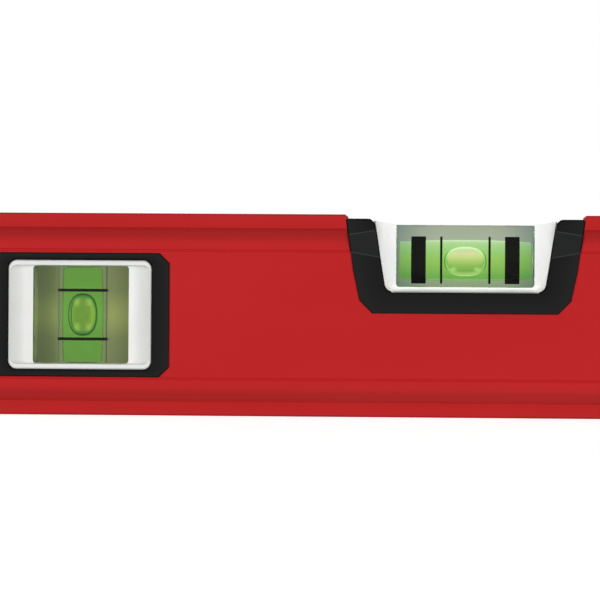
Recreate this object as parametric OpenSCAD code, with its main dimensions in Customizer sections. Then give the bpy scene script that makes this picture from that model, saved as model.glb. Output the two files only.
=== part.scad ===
// Compact box-section spirit level.
// X runs along the level, -Y is the front face and Z is up. The level stands on
// its bottom measuring face. The origin is on that face, under the centre vial.

/* [Beam] */
// Overall length, over both end bumpers
level_length = 254; // [230:2:400]
// Height over the two measuring faces
level_height = 50; // [50:0.5:52]
// Width of the measuring faces
level_width = 24; // [23:0.5:26]
// Width over the two recessed side panels
panel_width = 19.2; // [18.8:0.1:19.4]
// Thickness of the side walls
wall = 1.8; // [1.5:0.1:2.2]
// Thickness of the top and bottom flanges
flange = 4.5; // [3.6:0.1:5]
// Height of the flat edge of a rail
rail_h = 3.5; // [2.5:0.1:4]
// Height of the hollow cove under a rail
cove_h = 4.1; // [3:0.1:4.4]

/* [Centre vial] */
// Half width of the notch insert at its top
bezel_top = 29.4; // [29:0.1:31]
// Half width of the notch insert where its chamfered corners start
bezel_low = 26.1; // [26:0.1:27]
// Height of the insert's underside
bezel_base = 25.6; // [25:0.1:26]
// Height of the insert's top
bezel_crest = 49; // [48.6:0.1:49.4]
// Half length of the block that shows between the insert's side walls
sight_half = 17; // [16:0.1:17.5]
// Height of the vial's axis
vial_z = 39; // [38.6:0.1:39.2]
// Distance between the two thin level lines
level_gap = 12; // [11.6:0.1:13]
// Distance between the middles of the two wide slope bands
slope_gap = 23.3; // [22:0.1:24]

/* [Plumb vials] */
// Distance from the centre vial to each plumb vial
plumb_x = 95.5; // [90:0.5:100]
// Width of the plumb bezel
plumb_w = 44.5; // [43:0.1:46]
// Height of the plumb bezel
plumb_h = 30.8; // [30:0.1:31]
// Width of the block that shows in the plumb window
plumb_sight_w = 23.9; // [22:0.1:24]
// Height of the block that shows in the plumb window
plumb_sight_h = 24.2; // [23:0.1:24.4]

/* [Vials] */
// Radius of the bore in the middle of its barrel shape
bore_r = 5.1; // [4.5:0.05:5.2]
// Length of the bubble
bubble_l = 10.6; // [9:0.1:11]
// Diameter of the bubble
bubble_d = 7; // [6:0.1:7]

/* [Ends] */
// Thickness of the rubber bumper
bumper_t = 3.5; // [2.5:0.1:4]
// Thickness of the end plug's cover plate
plate_t = 1.5; // [1.2:0.1:2]

/* [Hidden] */
$fn = 48;

gap = 0.1;            // assembly clearance between neighbouring pieces
fit = 0.03;           // clearance of a piece that is glued or filled in
tiny = 0.01;
spare = 1;            // how far a cutting shape runs past what it cuts
through = 60;         // longer than anything that it cuts

mid_z = level_height / 2;
half_w = level_width / 2;
half_p = panel_width / 2;
band_y = half_p + 0.3;                  // flat band between cove and step line
cavity_y = half_p - wall;               // half width of the beam's cavity
beam_length = level_length - 2 * (bumper_t + plate_t);
panel_top = level_height - 8.9;         // height of the upper step line
step_w = 0.45;                          // width of a step line
step_y = half_p - 0.3;                  // bottom of a step line
rail_edge = 0.5;                        // rounding of a rail's outer edge

// The cove is an arc that leaves the band upright and meets the rail at its edge.
cove_depth = half_w - band_y;
cove_turn = 2 * atan(cove_depth / cove_h);
cove_r = cove_h / sin(cove_turn);
cove_steps = 8;

bezel_face = half_p + 0.7;              // front of a bezel on the side panel
arm_face = half_w - 0.1;                // front of the arms between the rails
arm_gap = 0.15;                         // clearance of the arms in the rails
facet_low = 40.2;                       // height where the sloping facet starts
facet_high = 45.5;                      // and where it meets the arms' front
bezel_lip = 1.1;                        // bezel overlap on the edge of its cut-out
opening_top = 22.75;                    // half width of the U opening at its top
opening_low = 19.75;                    // and just above its bottom corners
opening_floor = 30.9;                   // height of the opening's floor
knee_z = 36.2;                          // height of the knee in the insert's sides
knee_x = 27.7;                          // half width of the insert at the knee
chamfer = 3.2;                          // size of the insert's lower corners
corner_share = tan(22.5);               // how a cut corner's ends move when it grows
mouth = 4;                              // how far the notch's outlines run past its top

cradle_face = half_p + 0.3;             // front of the white parts
cradle_drop = 0.4;                      // cradle's top below the insert's top
cradle_flare = 2.8;                     // width of the cradle's flared faces
block_base = 32.2;                      // underside of the centre block
block_top = 47.6;                       // top of the centre block
block_half = sight_half + 1.9;          // half length of the centre block
block_y = 7.4;                          // half depth of the centre block
tube_r = 5.7;                           // outside radius of the centre tube
tube_half = block_half - 1.1;           // half length of the centre tube
tube_gap = 0.25;                        // clearance of a tube in its block
barrel_r = 260;                         // radius of the bore's barrel curve
barrel_steps = 3;                       // chords in each half of that curve
end_wall = 1;                           // closed end of the centre tube, and its plug
plumb_end = 0.4;                        // closed end of a plumb tube, and its plug
shoulder = 0.1;                         // step between a bore and its plug
plug_r = 4;                             // radius of a tube's open end
fill_r = 1.5;                           // radius of the filling passage
bubble_z = vial_z - 0.3;                // height of the centre bubble
bubble_run = 10.5;                      // travel of the centre bubble, each way
bubble_room = 0.4;                      // room for a bubble beyond its size
mark_t = 0.16;                          // thickness of a printed mark
mark_gap = 0.02;                        // gap between a mark and its tube
line_w = 0.55;                          // width of a centre level line
band_w = 3.6;                           // width of a slope band

plumb_z = mid_z - 0.2;                  // height of the plumb vials
plumb_y = 7.1;                          // half depth of a plumb block
plumb_tube_r = 6.15;                    // outside radius of a plumb tube
plumb_open_w = 35.8;                    // width of the plumb bezel's opening
plumb_open_h = 27.2;                    // height of that opening
plumb_inset = 2;                        // bezel overlap at the sides of its window
plumb_cut = 2.5;                        // size of the plumb bezel's cut corners
plumb_flare = 4.8;                      // width of a liner's flared faces
plumb_grip = 1;                         // how far a liner reaches over the block
plumb_half = plumb_sight_h / 2;         // half length of a plumb tube
plumb_gap = 12.16;                      // distance between a plumb vial's lines
plumb_line_w = 0.7;                     // width of a plumb vial's lines
plumb_run = 4.7;                        // travel of a plumb bubble, each way
corner_r = 2.2;                         // rounding of the openings' corners

end_r = 3;                              // rounding of the end pieces' corners
plate_inset = 0.2;                      // cover plate inside the bumper's outline
plug_depth = 6;                         // length of the end plug inside the beam
plug_gap = 0.2;                         // clearance of the end plug in the beam
plug_wall = 2;                          // wall of the end plug's hollow body
key_h = 1.5;                            // height of the key between plug and bumper
key_w = 9;                              // width of that key
key_l = 26;                             // length of that key

RED = [0.72, 0.15, 0.15];
BLACK = [0.12, 0.12, 0.12];
WHITE = [0.93, 0.93, 0.92];
GREY = [0.51, 0.56, 0.48];
CLEAR = [0.80, 0.85, 0.76, 0.45];
GREEN = [0.55, 0.80, 0.35, 0.7];

// ---- shared shapes ----------------------------------------------------------

// Stands a flat outline upright, from depth y0 to depth y1. Its own x and y
// become X and Z.
module upright(y0, y1) {
    translate([0, y1, 0]) rotate([90, 0, 0]) linear_extrude(y1 - y0) children();
}

// Lays a side profile along X, centred. Its own x and y become Y and Z.
module along_x(length) {
    translate([-length / 2, 0, 0])
        rotate([90, 0, 90]) linear_extrude(length) children();
}

// Rectangle with rounded corners, centred.
module rounded(w, h, r) {
    offset(r) square([w - 2 * r, h - 2 * r], center = true);
}

// Rear copy of a part that is modelled on the front.
module to_rear() {
    mirror([0, 1, 0]) children();
}

// Turns a shape made along Z so that it lies along X.
module lay_down() {
    rotate([0, 90, 0]) children();
}

// Half outline of a barrel-shaped bore, for rotate_extrude.
function barrel_at(r, z) = r - barrel_r + sqrt(barrel_r * barrel_r - z * z);

module barrel_outline(r, half) {
    polygon(concat([[0, -half]],
        [for (i = [-barrel_steps:barrel_steps]) let (z = i * half / barrel_steps)
            [barrel_at(r, z), z]],
        [[0, half]]));
}

// Capsule along Z with round ends, for the bubbles and the room they move in.
module capsule(length, d) {
    rotate_extrude() intersection() {
        union() {
            square([d, length - d], center = true);
            for (end = [-1, 1]) translate([0, end * (length - d) / 2]) circle(d / 2);
        }
        translate([0, -length / 2]) square([d, length]);
    }
}

// Tube along Z with a barrel bore, closed below and open above for its plug.
module vial_tube(r, half, end) {
    difference() {
        cylinder(r = r, h = 2 * half, center = true, $fn = 144);
        rotate_extrude($fn = 144) barrel_outline(bore_r, half - end - shoulder);
        translate([0, 0, half - end - spare])
            cylinder(r = plug_r, h = end + 2 * spare, $fn = 144);
    }
}

// Plug that closes a tube's open end.
module vial_plug(half, end) {
    translate([0, 0, half - end]) cylinder(r = plug_r - fit, h = end);
}

// Liquid that fills a tube's bore, with room for the bubble's whole travel. The
// narrow passage at the plug's end is where the tube is filled.
module vial_fluid(half, end, run, lift) {
    difference() {
        rotate_extrude($fn = 144)
            barrel_outline(bore_r - fit, half - end - shoulder - fit);
        translate([lift, 0, 0])
            capsule(bubble_l + 2 * run + bubble_room, bubble_d + bubble_room);
        cylinder(r = fill_r, h = half);
    }
}

// Thin printed ring around a tube.
module ring_mark(r, width) {
    difference() {
        cylinder(r = r + mark_gap + mark_t, h = width, center = true);
        cylinder(r = r + mark_gap, h = width + spare, center = true);
    }
}

// ---- beam -------------------------------------------------------------------

// A quarter of the beam's outline, from the edge of the top face down to the
// step line above the side panel.
function quarter() = concat(
    [for (i = [0:2]) let (a = 45 * i)
        [half_w - rail_edge * (1 - sin(a)), mid_z - rail_edge * (1 - cos(a))]],
    [for (i = [0:cove_steps]) let (a = cove_turn * (1 - i / cove_steps))
        [band_y + cove_r * (1 - cos(a)), mid_z - rail_h - cove_h + cove_r * sin(a)]],
    [[band_y, panel_top - mid_z], [step_y, panel_top - mid_z],
     [step_y, panel_top - step_w - mid_z], [half_p, panel_top - step_w - mid_z]]);

// The whole outline: the quarter, then its mirror images, each in turn.
module beam_outline() {
    q = quarter();
    n = len(q) - 1;
    polygon(concat(
        [for (i = [0:n]) q[i]], [for (i = [n:-1:0]) [q[i][0], -q[i][1]]],
        [for (i = [0:n]) -q[i]], [for (i = [n:-1:0]) [-q[i][0], q[i][1]]]));
}

module beam_profile() {
    translate([0, mid_z]) difference() {
        beam_outline();
        square([2 * cavity_y, level_height - 2 * flange], center = true);
    }
}

// Right half of the insert's outline, grown by g, from its underside up past its top.
function insert_half(g) = let (slope = (bezel_top - knee_x) / (bezel_crest - knee_z)) [
    [bezel_low - chamfer + g * corner_share, bezel_base - g],
    [bezel_low + g, bezel_base + chamfer - g * corner_share],
    [knee_x + g, knee_z],
    [bezel_top + g + slope * mouth, bezel_crest + mouth]];

// The whole outline: that half, then its mirror image.
module insert_outline(g) {
    half = insert_half(g);
    polygon(concat(half, [for (i = [len(half) - 1:-1:0]) [-half[i][0], half[i][1]]]));
}

// The part of the insert between the rails, above the side panel.
module arms_outline(g) {
    intersection() {
        insert_outline(g);
        translate([-through / 2, panel_top - g]) square([through, through]);
    }
}

// Outline of the opening inside the insert, shrunk by g, open upwards.
module opening_outline(g) {
    slope = (opening_top - opening_low) / (bezel_crest - opening_floor);
    top_x = opening_top + slope * mouth - g;
    offset(corner_r) offset(-corner_r) polygon([
        [-opening_low + g, opening_floor + g], [opening_low - g, opening_floor + g],
        [top_x, bezel_crest + mouth], [-top_x, bezel_crest + mouth]]);
}

module beam() {
    color(RED) difference() {
        along_x(beam_length) beam_profile();
        // notch through the whole beam, a little smaller than the insert
        upright(-through, through) insert_outline(-bezel_lip);
        // the insert's arms need its full outline where they cross the rails
        upright(-through, through) arms_outline(arm_gap);
        for (side = [-1, 1]) translate([side * plumb_x, 0, plumb_z])
            upright(-through, through)
                square([plumb_w - 2 * plumb_inset, plumb_h - 2 * bezel_lip], center = true);
    }
}

// ---- centre vial ------------------------------------------------------------

// Side profile of the insert's front half: a flat lower part on the side panel,
// a sloping facet and arms that reach out to the rails.
module bezel_side() {
    polygon([[-gap / 2, bezel_base - spare], [-bezel_face, bezel_base - spare],
        [-bezel_face, facet_low], [-arm_face, facet_high],
        [-arm_face, bezel_crest], [-gap / 2, bezel_crest]]);
}

module centre_bezel() {
    color(BLACK) difference() {
        intersection() {
            along_x(2 * through) bezel_side();
            union() {
                upright(-through, -half_p - gap / 2) insert_outline(0);
                upright(-through, 0) insert_outline(-bezel_lip - gap);
                upright(-through, 0) arms_outline(0);
            }
        }
        upright(-through, through) opening_outline(0);
    }
}

module centre_front_bezel() {
    centre_bezel();
}

module centre_rear_bezel() {
    to_rear() centre_bezel();
}

// White cradle: a floor and two end walls with a pocket for the block, and
// faces that flare out from the block to the insert.
module centre_cradle() {
    crest = bezel_crest - cradle_drop;
    color(WHITE) difference() {
        upright(-cradle_face, cradle_face) intersection() {
            opening_outline(gap);
            polygon([[-through, 0], [through, 0], [through, crest],
                [opening_top, crest], [sight_half, block_top + gap],
                [-sight_half, block_top + gap], [-opening_top, crest],
                [-through, crest]]);
        }
        // pocket that the block slides down into
        translate([-block_half - gap, -block_y - gap, block_base - gap / 2])
            cube([2 * block_half + 2 * gap, 2 * block_y + 2 * gap, through]);
        // flared windows to the front and to the rear
        for (side = [1, -1]) mirror([0, side > 0 ? 0 : 1, 0])
            translate([0, 0, block_base]) linear_extrude(through)
                polygon([[-sight_half - cradle_flare, -cradle_face - tiny],
                    [sight_half + cradle_flare, -cradle_face - tiny],
                    [sight_half, -block_y], [-sight_half, -block_y]]);
    }
}

module centre_vial_block() {
    color(CLEAR) difference() {
        translate([-block_half, -block_y, block_base])
            cube([2 * block_half, 2 * block_y, block_top - block_base]);
        translate([0, 0, vial_z]) lay_down()
            cylinder(r = tube_r + tube_gap, h = through, center = true);
    }
}

module in_centre() {
    translate([0, 0, vial_z]) lay_down() children();
}

module centre_vial_tube() {
    color(CLEAR) in_centre() vial_tube(tube_r, tube_half, end_wall);
}

module centre_vial_plug() {
    color(GREY) in_centre() vial_plug(tube_half, end_wall);
}

module centre_vial_fluid() {
    color(GREEN) in_centre()
        vial_fluid(tube_half, end_wall, bubble_run, vial_z - bubble_z);
}

module centre_level_lines() {
    color(BLACK) in_centre() for (side = [-1, 1])
        translate([0, 0, side * level_gap / 2]) ring_mark(tube_r, line_w);
}

module centre_slope_bands() {
    color(BLACK) in_centre() for (side = [-1, 1])
        translate([0, 0, side * slope_gap / 2]) ring_mark(tube_r, band_w);
}

module centre_bubble() {
    color(WHITE) translate([0, 0, bubble_z]) lay_down() capsule(bubble_l, bubble_d);
}

// ---- plumb vials ------------------------------------------------------------

module at_plumb(side) {
    translate([side * plumb_x, 0, plumb_z]) children();
}

// Plumb bezel: a frame with cut corners on the side panel, and a sleeve that
// goes through the beam's wall.
module plumb_bezel() {
    w = plumb_w / 2;
    h = plumb_h / 2;
    color(BLACK) difference() {
        union() {
            upright(-bezel_face, -half_p - gap / 2) polygon([
                [w - plumb_cut, -h], [w, -h + plumb_cut],
                [w, h - plumb_cut], [w - plumb_cut, h],
                [-w + plumb_cut, h], [-w, h - plumb_cut],
                [-w, -h + plumb_cut], [-w + plumb_cut, -h]]);
            upright(-half_p - gap, -gap / 2)
                square([plumb_w - 2 * (plumb_inset + gap), plumb_h - 2 * (bezel_lip + gap)],
                    center = true);
        }
        upright(-through, through) rounded(plumb_open_w, plumb_open_h, corner_r);
    }
}

// White liner: half of the frame that clamps the block, with faces that flare
// out from the block to the bezel.
module plumb_liner() {
    sight = plumb_sight_w / 2;
    color(WHITE) difference() {
        upright(-cradle_face, -gap / 2)
            rounded(plumb_open_w - 2 * gap, plumb_open_h - 2 * gap, corner_r);
        cube([2 * (sight + plumb_grip), 2 * plumb_y + gap, plumb_sight_h + gap],
            center = true);
        upright(-through, through) square([2 * sight, plumb_sight_h], center = true);
        // flared sides
        linear_extrude(plumb_sight_h, center = true) polygon([
            [-sight - plumb_flare, -cradle_face - tiny],
            [sight + plumb_flare, -cradle_face - tiny],
            [sight, -plumb_y], [-sight, -plumb_y]]);
    }
}

module plumb_block() {
    color(CLEAR) difference() {
        cube([plumb_sight_w + 2 * (plumb_grip - gap), 2 * plumb_y - gap, plumb_sight_h],
            center = true);
        cylinder(r = plumb_tube_r + tube_gap, h = through, center = true);
    }
}

module plumb_lines() {
    color(BLACK) for (side = [-1, 1])
        translate([0, 0, side * plumb_gap / 2]) ring_mark(plumb_tube_r, plumb_line_w);
}

module left_front_bezel() { at_plumb(-1) plumb_bezel(); }
module left_rear_bezel() { at_plumb(-1) to_rear() plumb_bezel(); }
module left_front_liner() { at_plumb(-1) plumb_liner(); }
module left_rear_liner() { at_plumb(-1) to_rear() plumb_liner(); }
module left_vial_block() { at_plumb(-1) plumb_block(); }
module left_vial_tube() {
    color(CLEAR) at_plumb(-1) vial_tube(plumb_tube_r, plumb_half, plumb_end);
}
module left_vial_plug() {
    color(GREY) at_plumb(-1) vial_plug(plumb_half, plumb_end);
}
module left_vial_fluid() {
    color(GREEN) at_plumb(-1) vial_fluid(plumb_half, plumb_end, plumb_run, 0);
}
module left_level_lines() { at_plumb(-1) plumb_lines(); }
module left_bubble() { color(WHITE) at_plumb(-1) capsule(bubble_l, bubble_d); }

module right_front_bezel() { at_plumb(1) plumb_bezel(); }
module right_rear_bezel() { at_plumb(1) to_rear() plumb_bezel(); }
module right_front_liner() { at_plumb(1) plumb_liner(); }
module right_rear_liner() { at_plumb(1) to_rear() plumb_liner(); }
module right_vial_block() { at_plumb(1) plumb_block(); }
module right_vial_tube() {
    color(CLEAR) at_plumb(1) vial_tube(plumb_tube_r, plumb_half, plumb_end);
}
module right_vial_plug() {
    color(GREY) at_plumb(1) vial_plug(plumb_half, plumb_end);
}
module right_vial_fluid() {
    color(GREEN) at_plumb(1) vial_fluid(plumb_half, plumb_end, plumb_run, 0);
}
module right_level_lines() { at_plumb(1) plumb_lines(); }
module right_bubble() { color(WHITE) at_plumb(1) capsule(bubble_l, bubble_d); }

// ---- ends -------------------------------------------------------------------

// Outline of an end: the beam's envelope with rounded corners.
module end_outline(inset) {
    translate([0, mid_z])
        rounded(level_width - 2 * inset, level_height - 2 * inset, end_r);
}

// Bar from x0 to x1 in the middle of the section.
module bar(x0, x1, w, h) {
    translate([x0, -w / 2, mid_z - h / 2]) cube([x1 - x0, w, h]);
}

// Hard plug: a cover plate, a key for the bumper and a hollow body with its open
// end inside the beam.
module end_plug() {
    body_w = 2 * (cavity_y - plug_gap);
    body_h = level_height - 2 * (flange + plug_gap);
    edge = beam_length / 2;
    mid_plate = edge + plate_t / 2;
    color(BLACK) difference() {
        union() {
            translate([mid_plate, 0, 0]) along_x(plate_t - 2 * tiny) end_outline(plate_inset);
            bar(edge - plug_depth, mid_plate, body_w, body_h);
            bar(mid_plate, edge + plate_t + key_h, key_w, key_l);
        }
        bar(edge - plug_depth - spare, edge - spare, body_w - 2 * plug_wall,
            body_h - 2 * plug_wall);
    }
}

// Rubber bumper with a recess for the plug's key.
module end_bumper() {
    edge = beam_length / 2 + plate_t;
    color(BLACK) difference() {
        translate([edge + bumper_t / 2, 0, 0]) along_x(bumper_t) end_outline(0);
        bar(edge - spare, edge + key_h + gap, key_w + 2 * gap, key_l + 2 * gap);
    }
}

module left_end_plug() { mirror([1, 0, 0]) end_plug(); }
module left_end_bumper() { mirror([1, 0, 0]) end_bumper(); }
module right_end_plug() { end_plug(); }
module right_end_bumper() { end_bumper(); }

// ---- assembly ---------------------------------------------------------------

beam();
centre_front_bezel();
centre_rear_bezel();
centre_cradle();
centre_vial_block();
centre_vial_tube();
centre_vial_plug();
centre_vial_fluid();
centre_level_lines();
centre_slope_bands();
centre_bubble();
left_front_bezel();
left_rear_bezel();
left_front_liner();
left_rear_liner();
left_vial_block();
left_vial_tube();
left_vial_plug();
left_vial_fluid();
left_level_lines();
left_bubble();
right_front_bezel();
right_rear_bezel();
right_front_liner();
right_rear_liner();
right_vial_block();
right_vial_tube();
right_vial_plug();
right_vial_fluid();
right_level_lines();
right_bubble();
left_end_plug();
left_end_bumper();
right_end_plug();
right_end_bumper();
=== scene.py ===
"""Looks of a compact box-section spirit level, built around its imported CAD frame.

X runs along the level, -Y is the front face and Z is up. Shapes are worked out in millimetres
and written to the meshes in metres. The overall sizes come from the boxes of the CAD nodes.
"""

import math

import bmesh
import bpy
from mathutils import Matrix, Vector


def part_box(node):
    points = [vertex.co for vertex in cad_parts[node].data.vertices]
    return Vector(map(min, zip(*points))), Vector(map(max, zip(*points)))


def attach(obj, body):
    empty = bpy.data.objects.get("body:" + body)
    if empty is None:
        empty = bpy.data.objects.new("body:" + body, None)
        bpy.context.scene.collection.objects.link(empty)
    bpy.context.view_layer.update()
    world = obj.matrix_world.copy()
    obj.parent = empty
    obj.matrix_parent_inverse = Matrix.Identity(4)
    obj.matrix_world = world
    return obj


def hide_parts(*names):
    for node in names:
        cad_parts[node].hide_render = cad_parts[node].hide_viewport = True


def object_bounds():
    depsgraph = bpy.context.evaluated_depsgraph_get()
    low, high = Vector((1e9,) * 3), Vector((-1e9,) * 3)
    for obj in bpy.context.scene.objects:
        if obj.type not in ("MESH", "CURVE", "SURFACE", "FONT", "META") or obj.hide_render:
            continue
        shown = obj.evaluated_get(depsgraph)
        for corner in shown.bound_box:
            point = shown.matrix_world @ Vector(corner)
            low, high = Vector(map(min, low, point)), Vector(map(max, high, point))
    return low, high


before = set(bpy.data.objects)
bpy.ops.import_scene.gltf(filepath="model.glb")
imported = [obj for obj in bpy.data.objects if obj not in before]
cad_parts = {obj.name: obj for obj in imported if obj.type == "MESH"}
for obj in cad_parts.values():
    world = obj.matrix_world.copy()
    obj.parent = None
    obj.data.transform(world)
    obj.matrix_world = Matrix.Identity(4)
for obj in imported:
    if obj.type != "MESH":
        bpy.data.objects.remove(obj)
cad_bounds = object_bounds()

MM = 0.001                       # one millimetre, in metres
FRONT, REAR = -1, 1              # direction of a face along Y
SIDES = {"left": -1, "right": 1}

# ---- sizes that the boxes of the CAD nodes don't give (mm) ----
CLEARANCE = 0.1                  # between neighbouring pieces
SLIVER = 0.05                    # smallest gap or step, which keeps two faces apart
PANEL_TOP = 41.1                 # height of the step line above the side panel
CONTACT = 9.65                   # depth of a bezel's back on the side panel
EDGE = 0.4                       # rounding of a bezel's front edges
WHITE_EDGE = 0.3                 # bevel of the white parts' front edges
LIP = 1.2                        # overlap of a bezel on the edge of its cut-out
OPENING_TOP = 22.75              # half width of the U opening at its top
OPENING_LOW = 19.75              # and at its floor
OPENING_FLOOR = 30.9             # height of that floor
OPENING_R = 2.2                  # rounding of the openings' corners
LIP_R = 0.8                      # rounding of the cradle's lip around the block
SMALL_R = 0.5                    # rounding of pockets, sleeves and keys that are out of sight
KNEE = (27.7, 36.2)              # knee in the sides of the U bezel: half width and height
BEZEL_LOW = (26.1, 28.8)         # where its cut corner starts
CUT = 3.2                        # size of the cut corner
ARM_R = 1.2                      # rounding at the top of an arm, on the opening's side
ARM_OUTER_R = 0.5                # and on the beam's side
LOWER_LINE = (40.8, 39.5)        # height of the facet's lower line: outer end, inner end
UPPER_LINE = (45.0, 46.1)        # and of its upper line
LINE_HALF = 0.14                 # half width of the painted highlight along such a line
LOW_FACE = 10.3                  # depth of the bezel's face below the facet
SIGHT_HALF = 17.1                # half length of the centre block that shows
PLUMB_SIGHT = (11.95, 12.1)      # half width and half height of the plumb block that shows
PLUMB_OPENING = (17.9, 13.6)     # half width and half height of the plumb bezel's opening
PLUMB_CUT = 2.5                  # cut corner of the plumb bezel
PLUMB_LIP = 2                    # its overlap at the sides of its window
PLUMB_GRIP = 1                   # how far a liner reaches over the block
LINER_R = (1.6, 0.7)             # rounding of a liner's scoop, at the front and at the block
LINER_FLARE = 0.2                # how much higher the scoop is at the front
LINER_STEP = 0.02                # flat between a liner's rim and its scoop
BLOCK_EDGE = 0.3                 # chamfer of a clear block
BARREL_R = 260.0                 # radius of the vials' barrel curve
TUBE_EDGE = 0.3                  # chamfer of a tube's ends
CENTRE_END, PLUMB_END = 1.0, 0.4  # thickness of the tubes' closed ends and of their plugs
SHOULDER = 0.1                   # step between a bore and its plug
PLUG_R = 4.0                     # radius of a tube's open end
PLUG_EDGE = 0.15                 # chamfer of a plug
BORE_GAP = 0.03                  # between the bore and the liquid
LIQUID_END = 0.25                # chamfer of the liquid's ends
CENTRE_AIR = 0.35                # gap between the centre liquid and the ends of its bore
MARK_T = 0.16                    # thickness of a printed mark
MARK_WIDTHS = {"centre_level_lines": 0.55, "centre_slope_bands": 3.6,
               "left_level_lines": 0.7, "right_level_lines": 0.7}
BUMPER_KEY = (4.6, 13.1, 1.6)    # half width, half height and depth of a bumper's recess
BUMPER_R = 3                     # rounding of a bumper's corners
BUMPER_EDGE = 1.3                # and of its outer edge
BUMPER_BACK = 0.2                # chamfer of its edge on the beam
BUMPER_RIM = 5                   # width of the flat rim around the dish in a bumper's face
DISH_R = 2                       # rounding of the dish's corners
DISH = (0.4, 0.5)                # width of its slope and its depth

# ---- shares, powers and counts ----
EDGE_HIGHLIGHT = 0.12                 # painted highlight along a bezel's outer edge
FACET_PAINTED_LIGHT = 0.27                # and painted light over the facet
CUT_SHRINK = 0.6                 # how much smaller a cut corner gets per millimetre of inset
SCOOP_SHARES = (0.2, 0.4, 0.6, 0.8, 1)  # points on the way down a scoop
SCOOP_START = 0.05               # where the scoop of the cradle starts
SCOOP_SIDE, SCOOP_FLOOR = 1.15, 3  # how hollow the cradle is at its sides and at its floor
SCOOP_LINER = 2                  # and how hollow a liner is
BUBBLE_FULLNESS = 2.35           # 2 is an ellipse, and more is fuller
OVAL_FULLNESS = 2.4              # the same for the ovals in the materials
LATHE_STEPS = 96                 # round a turned piece
CORNER_STEPS = 6                 # round a corner
BORE_STEPS, LIQUID_STEPS, BUBBLE_STEPS = 12, 16, 32  # along a profile


# ---- sizes from the frame (mm) ----

def span(node):
    """Lowest and highest corner of a CAD node at rest, in millimetres."""
    low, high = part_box(node)
    return low / MM, high / MM


def axial(node, axis):
    """Centre, half length along an axis and radius of a round CAD node."""
    low, high = span(node)
    half = (high.x - low.x if axis == "X" else high.z - low.z) / 2
    return (low + high) / 2, half, (high.y - low.y) / 2


middle_z = span("beam")[1].z / 2
bezel_low, bezel_high = span("centre_front_bezel")
bezel_half, bezel_top, bezel_front = bezel_high.x, bezel_high.z, -bezel_low.y
block_low, block_high = span("centre_vial_block")
plumb_low, plumb_high = span("right_vial_block")
plumb_x, plumb_z = (plumb_low.x + plumb_high.x) / 2, (plumb_low.z + plumb_high.z) / 2
plumb_half = (plumb_high.x - plumb_low.x) / 2
bore_r = axial("centre_vial_fluid", "X")[2]


# ---- mesh helpers ----

def add_row(bm, points):
    """Row of vertices. A fourth number in a point is its share of painted light and highlight."""
    painted_light = bm.verts.layers.float.get("painted_light") or bm.verts.layers.float.new("painted_light")
    row = []
    for point in points:
        vert = bm.verts.new(Vector(point[:3]) * MM)
        vert[painted_light] = point[3] if len(point) > 3 else 0.0
        row.append(vert)
    return row


def bridge(bm, row, after):
    """Faces between two closed rows. A row of one vertex is a pole."""
    count = max(len(row), len(after))
    for i in range(count):
        j = (i + 1) % count
        corners = [row[i % len(row)], row[j % len(row)], after[j % len(after)], after[i % len(after)]]
        bm.faces.new(list(dict.fromkeys(corners)))


def skin(rings, cyclic=False):
    """Closed surface through rings of points. It closes on itself, or has a cap at each end."""
    bm = bmesh.new()
    bm.verts.layers.float.new("painted_light")
    rows = [add_row(bm, ring) for ring in rings]
    for row, after in zip(rows, rows[1:]):
        bridge(bm, row, after)
    if cyclic:
        bridge(bm, rows[-1], rows[0])
    else:
        for row in (rows[0], rows[-1]):
            if len(row) > 1:
                bm.faces.new(row)
    bmesh.ops.recalc_face_normals(bm, faces=bm.faces)
    return bm


def lathe(profile, centre, axis, cyclic=False):
    """Turns (radius, distance) points about an axis through centre, along X or Z."""
    rings = []
    for radius, distance in profile:
        steps = LATHE_STEPS if radius > 0 else 1
        ring = []
        for i in range(steps):
            turn = 2 * math.pi * i / steps
            across, up = radius * math.cos(turn), radius * math.sin(turn)
            offset = (distance, across, up) if axis == "X" else (across, up, distance)
            ring.append(tuple(centre + Vector(offset)))
        rings.append(ring)
    return skin(rings, cyclic)


def quarter(radius, steps=3):
    """Rounded edge as (inset, drop) pairs, from the side of a moulding to its face."""
    turns = [math.pi / 2 * i / steps for i in range(steps + 1)]
    return [(radius * (1 - math.cos(t)), radius * (1 - math.sin(t))) for t in turns]


def corner_loop(half_w, half_h, size, cut=False):
    """(x, z) outline of a rectangle. Rounded and cut corners have the same number of points."""
    points = []
    for corner, (side_x, side_z) in enumerate(((1, 1), (-1, 1), (-1, -1), (1, -1))):
        for i in range(CORNER_STEPS + 1):
            turn = math.pi / 2 * (corner + i / CORNER_STEPS)
            x, z = math.cos(turn), math.sin(turn)
            reach = size / (abs(x) + abs(z)) if cut else size
            points.append((side_x * (half_w - size) + reach * x, side_z * (half_h - size) + reach * z))
    return points


def between(a, b, share):
    """Point on the way from a to b."""
    return tuple(p + (q - p) * share for p, q in zip(a, b))


def piece(node, bm, material, body="level", crease=38):
    """Finished piece that stands for a CAD node and hides it, with the given material."""
    mesh = bpy.data.meshes.new(node + "_part")
    bm.to_mesh(mesh)
    bm.free()
    mesh.polygons.foreach_set("use_smooth", [True] * len(mesh.polygons))
    mesh.set_sharp_from_angle(angle=math.radians(crease))
    mesh.materials.append(material)
    made = bpy.data.objects.new(node + "_part", mesh)
    bpy.context.scene.collection.objects.link(made)
    weighted = made.modifiers.new("even_normals", "WEIGHTED_NORMAL")
    weighted.keep_sharp = True
    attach(made, body)
    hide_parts(node)


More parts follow.
